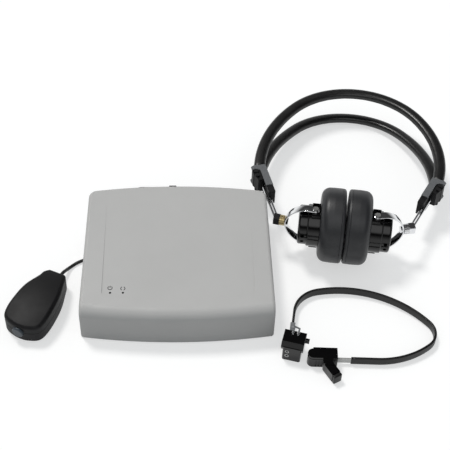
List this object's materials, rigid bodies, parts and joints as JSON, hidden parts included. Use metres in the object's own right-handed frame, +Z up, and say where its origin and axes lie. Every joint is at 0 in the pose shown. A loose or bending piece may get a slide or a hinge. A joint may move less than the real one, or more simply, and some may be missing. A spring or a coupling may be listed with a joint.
{
  "type": "desktop audiometer set",
  "caption": "Low grey desktop audiometer with a corded hand response switch, a double-band audiometric headset lying down, and a bone-conduction headband.",
  "frame": {"origin": "on the table top, below the plan centre of the whole set's box without its cord", "axes": "+X to the right across the set, +Y from the case's front to its connector panel, +Z up from the table"},
  "size_m": [0.4662, 0.3881, 0.0791],
  "materials": {
    "case_plastic": "satin light grey",
    "dark_plastic": "matte dark grey",
    "black_plastic": "matte black",
    "gloss_black": "glossy black",
    "button_plastic": "satin slate grey",
    "rubber": "matte black",
    "cushion_rubber": "satin dark grey",
    "vinyl": "padded, black",
    "cord_rubber": "satin black",
    "board": "green solder mask",
    "components": "matte black",
    "light_pipe": "clear, tinted green",
    "steel": "brushed",
    "grey_steel": "satin grey",
    "chrome": "polished",
    "brass": "knurled"
  },
  "bodies": {
    "case_and_switch": {"top_cover": "case_plastic", "base_tray": "dark_plastic", "rubber_feet": "rubber", "main_board": "board", "board_components": "components", "light_pipes": "light_pipe", "rear_panel": "dark_plastic", "jack_sockets": "black_plastic", "socket_nuts": "chrome", "usb_socket": "steel", "case_screws": "steel", "switch_top_shell": "black_plastic", "switch_bottom_shell": "black_plastic", "shell_screws": "steel", "micro_switch": "dark_plastic", "button_spring": "steel", "cord_gland": "rubber", "response_cord": "cord_rubber", "cord_hank": "cord_rubber", "hank_tie": "black_plastic", "jack_plug": "gloss_black", "jack_pin": "chrome"},
    "button": {"response_button": "button_plastic"},
    "headband": {"upper_band_sleeve": "vinyl", "lower_band_sleeve": "vinyl", "band_springs": "steel", "end_plates": "grey_steel", "end_covers": "black_plastic", "slide_blocks": "black_plastic", "band_rivets": "black_plastic"},
    "bone_band": {"bone_band_sleeve": "rubber", "bone_band_spring": "steel", "holder_bail": "grey_steel"},
    "vibrator": {"vibrator_holder": "gloss_black", "vibrator_case": "gloss_black", "vibrator_motor": "steel", "pin_sockets": "steel"},
    "rest": {"rest_block": "gloss_black", "arm_pin": "gloss_black"},
    "rest_arm": {"rest_arm": "gloss_black", "rest_pad": "rubber"},
    "left_slider": {"left_rods": "chrome", "left_swivel_block": "black_plastic", "left_swivel_nut": "brass"},
    "left_fork": {"left_yoke": "chrome"},
    "left_earphone": {"left_earphone_case": "gloss_black", "left_earphone_cap": "gloss_black", "left_driver": "dark_plastic", "left_ear_cushion": "cushion_rubber", "left_pivot_screws": "steel"},
    "right_slider": {"right_rods": "chrome", "right_swivel_block": "chrome", "right_swivel_nut": "chrome"},
    "right_fork": {"right_yoke": "chrome"},
    "right_earphone": {"right_earphone_case": "gloss_black", "right_earphone_cap": "gloss_black", "right_driver": "dark_plastic", "right_ear_cushion": "cushion_rubber", "right_pivot_screws": "steel"}
  },
  "joints": [
    {"name": "button_press", "type": "slide", "parent": "case_and_switch", "child": "button", "axis": [0.4305, 0.9026, 0], "range_m": [0, 0.0018], "stiffness_N_per_m": 300, "springref_m": -0.002},
    {"name": "headset_lift", "type": "slide", "parent": "case_and_switch", "child": "headband", "axis": [0, 0, 1], "range_m": [0, 0.1]},
    {"name": "bone_set_lift", "type": "slide", "parent": "case_and_switch", "child": "bone_band", "axis": [0, 0, 1], "range_m": [0, 0.1]},
    {"name": "left_rod_slide", "type": "slide", "parent": "headband", "child": "left_slider", "axis": [-0.198, 0.9763, -0.0878], "range_m": [0, 0.012]},
    {"name": "left_fork_swivel", "type": "hinge", "parent": "left_slider", "child": "left_fork", "pos_m": [0.0505, -0.01607, 0.03943], "axis": [-0.9632, 0.2689, 0.0025], "range_deg": [-4, 4]},
    {"name": "left_earphone_tilt", "type": "hinge", "parent": "left_fork", "child": "left_earphone", "pos_m": [0.07939, -0.02413, 0.03936], "axis": [-0.0011, -0.0132, 0.9999], "range_deg": [-5, 5]},
    {"name": "right_rod_slide", "type": "slide", "parent": "headband", "child": "right_slider", "axis": [0.5027, 0.8605, -0.0824], "range_m": [0, 0.012]},
    {"name": "right_fork_swivel", "type": "hinge", "parent": "right_slider", "child": "right_fork", "pos_m": [0.1716, -0.02875, 0.03982], "axis": [0.9888, 0.1495, 0.003], "range_deg": [-4, 4]},
    {"name": "right_earphone_tilt", "type": "hinge", "parent": "right_fork", "child": "right_earphone", "pos_m": [0.14193, -0.03324, 0.03973], "axis": [-0.0011, -0.0132, 0.9999], "range_deg": [-5, 5]},
    {"name": "vibrator_tilt", "type": "hinge", "parent": "bone_band", "child": "vibrator", "pos_m": [0.05262, -0.15111, 0.0228], "axis": [0.9613, -0.2756, 0], "range_deg": [-20, 20]},
    {"name": "rest_slide", "type": "slide", "parent": "bone_band", "child": "rest", "axis": [0.9989, -0.0471, 0], "range_m": [0, 0.013]},
    {"name": "rest_arm_swing", "type": "hinge", "parent": "rest", "child": "rest_arm", "pos_m": [0.08344, -0.17564, 0], "axis": [0, 0, 1], "range_deg": [-30, 10]}
  ],
  "couplings": [
    {"joint": "right_earphone_tilt", "follows": "left_earphone_tilt", "ratio": 1}
  ]
}
